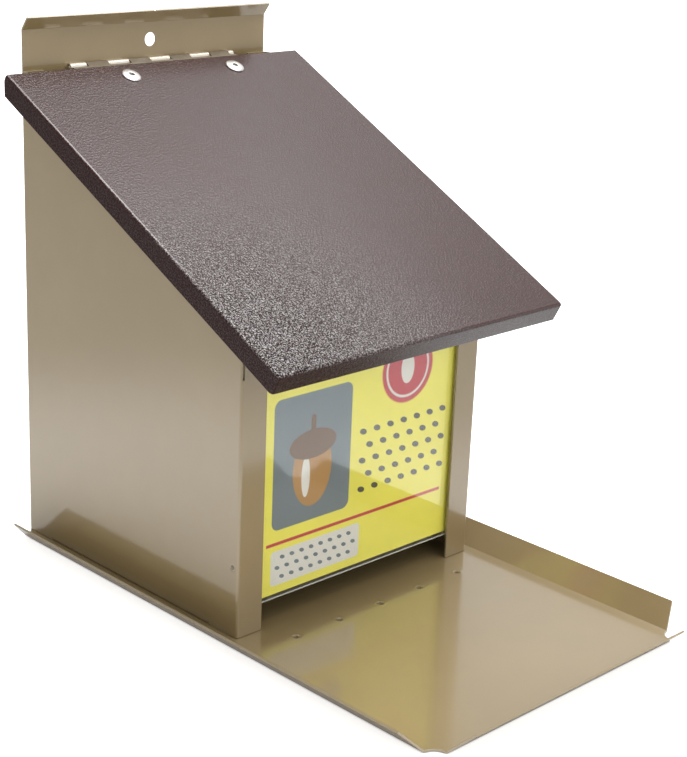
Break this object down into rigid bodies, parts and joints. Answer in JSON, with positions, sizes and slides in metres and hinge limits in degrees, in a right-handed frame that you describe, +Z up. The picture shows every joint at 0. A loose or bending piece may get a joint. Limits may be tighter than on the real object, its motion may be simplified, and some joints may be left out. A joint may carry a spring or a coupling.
{
  "type": "squirrel feeder box",
  "caption": "Sheet-metal squirrel feeder: a hopper with a hinged sloping lid and a clear front window, standing on a seed tray with flared edges and backed by a wall with a hanging hole.",
  "frame": {"origin": "on the ground under the middle of the bounding box", "axes": "+Z up, +X to the right of someone facing the window, and the window and tray face -Y"},
  "size_m": [0.1846, 0.299, 0.2575],
  "materials": {
    "body_paint": "semi-gloss beige paint on steel sheet",
    "lid_paint": "dark brown hammered paint on steel sheet",
    "clear_acrylic": "clear polished acrylic sheet",
    "printed_card": "printed yellow card",
    "hinge_steel": "zinc plated steel",
    "rivet_aluminium": "bright aluminium"
  },
  "bodies": {
    "housing": {"tray_and_back": "body_paint", "left_side_panel": "body_paint", "right_side_panel": "body_paint", "left_window_guide": "body_paint", "right_window_guide": "body_paint", "window_pane": "clear_acrylic", "label_card": "printed_card", "hinge_back_leaf": "hinge_steel", "hinge_pin": "hinge_steel", "back_rivet_left": "rivet_aluminium", "back_rivet_right": "rivet_aluminium"},
    "lid": {"lid_panel": "lid_paint", "hinge_lid_leaf": "hinge_steel", "lid_rivet_left": "rivet_aluminium", "lid_rivet_right": "rivet_aluminium"}
  },
  "joints": [
    {"name": "lid_hinge", "type": "hinge", "parent": "housing", "child": "lid", "pos_m": [0, 0.14518, 0.2324], "axis": [-1, 0, 0], "range_deg": [0, 102]}
  ]
}
